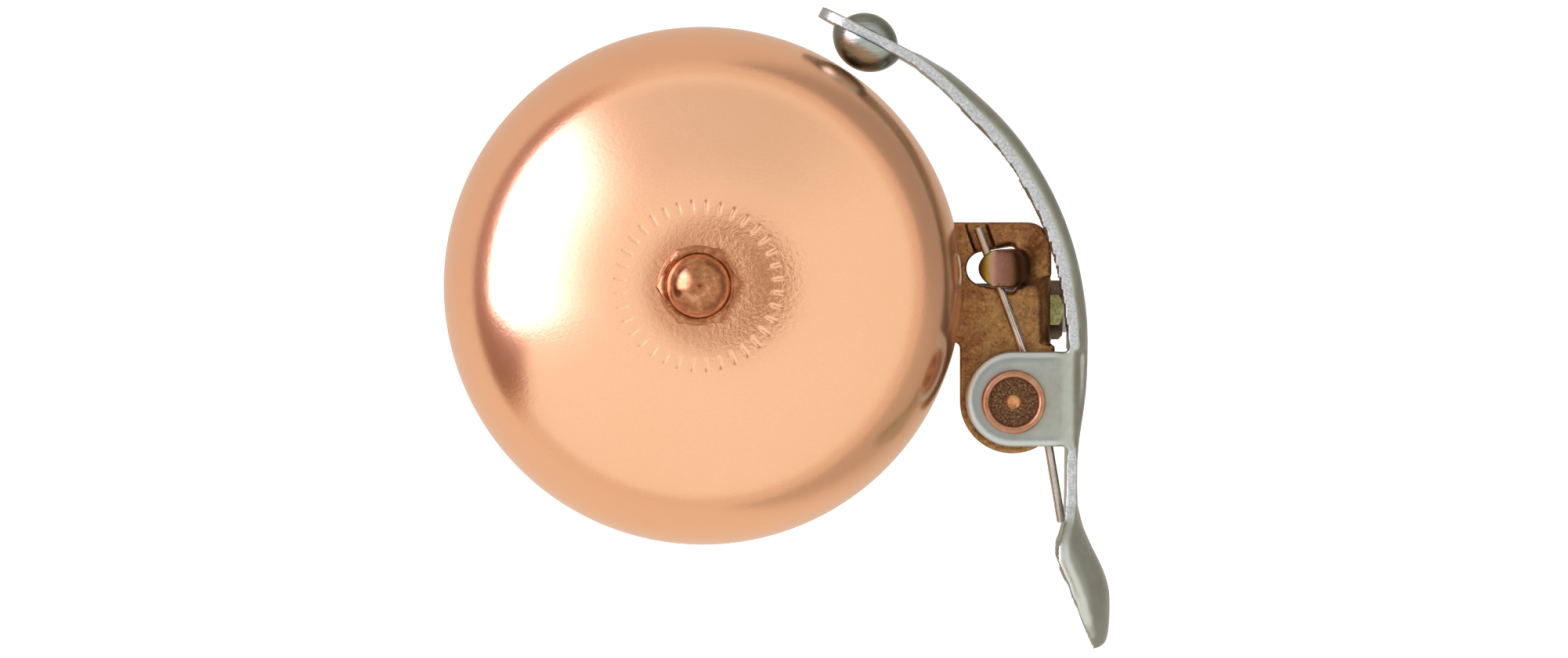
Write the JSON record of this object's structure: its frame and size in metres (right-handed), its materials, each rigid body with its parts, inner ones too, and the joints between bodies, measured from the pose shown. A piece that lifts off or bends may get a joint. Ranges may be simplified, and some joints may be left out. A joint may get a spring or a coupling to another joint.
{
  "type": "bicycle bell",
  "caption": "Bicycle bell with a round copper dome on a post, a sprung thumb lever carrying a striker ball, and a screw-tightened band clamp for the handlebar.",
  "frame": {"origin": "centre of the handlebar clamp, on the axis of the handlebar, midway along the rubber liner", "axes": "+Y along the handlebar axis; +Z parallel to the axis of the dome, away from the handlebar towards the cap nut; +X from the dome towards the thumb lever"},
  "size_m": [0.0709, 0.0685, 0.0602],
  "materials": {
    "satin_copper": "satin copper plating, fine brushed",
    "nut_copper": "darker satin copper",
    "rivet_copper": "copper-plated, rolled rim, dark cup",
    "yellow_zinc": "iridescent yellow zinc over sheet steel",
    "bright_zinc": "clear zinc, satin, slightly green-grey",
    "spring_steel": "drawn wire",
    "plain_steel": "plain zinc-plated steel",
    "fibre": "vulcanised fibre",
    "liner_rubber": "matt black rubber"
  },
  "bodies": {
    "base": {"bell_dome": "satin_copper", "cap_nut": "nut_copper", "cap_washer": "nut_copper", "dome_seat_washer": "fibre", "dome_post": "plain_steel", "post_base_washer": "plain_steel", "bracket": "yellow_zinc", "clamp_nut": "yellow_zinc", "pivot_rivet": "rivet_copper", "pivot_bush": "plain_steel", "pivot_top_washer": "plain_steel", "pivot_spacer": "plain_steel", "pivot_back_washer": "plain_steel", "return_spring": "spring_steel", "clamp_strap": "plain_steel", "clamp_liner": "liner_rubber"},
    "lever": {"striker_lever": "bright_zinc", "striker_ball": "bright_zinc", "striker_rivet": "bright_zinc"},
    "screw_washers": {"screw_flat_washer": "plain_steel", "screw_spring_washer": "plain_steel"},
    "screw": {"clamp_screw": "plain_steel"}
  },
  "joints": [
    {"name": "lever_pivot", "type": "hinge", "parent": "base", "child": "lever", "pos_m": [0.006, -0.00975, 0.0175], "axis": [0, 0, 1], "range_deg": [-22, 0.95], "stiffness_Nm_per_rad": 0.02, "deforming": ["return_spring"]},
    {"name": "clamp_screw_travel", "type": "slide", "parent": "base", "child": "screw_washers", "axis": [1, 0, 0], "range_m": [-0.004, 0]},
    {"name": "clamp_screw_turn", "type": "hinge", "parent": "screw_washers", "child": "screw", "pos_m": [-0.012, 0, 0.0134], "axis": [1, 0, 0], "range_deg": [-2888, 0]}
  ],
  "couplings": [
    {"joint": "clamp_screw_turn", "follows": "clamp_screw_travel", "rad_per_m": 12566}
  ]
}
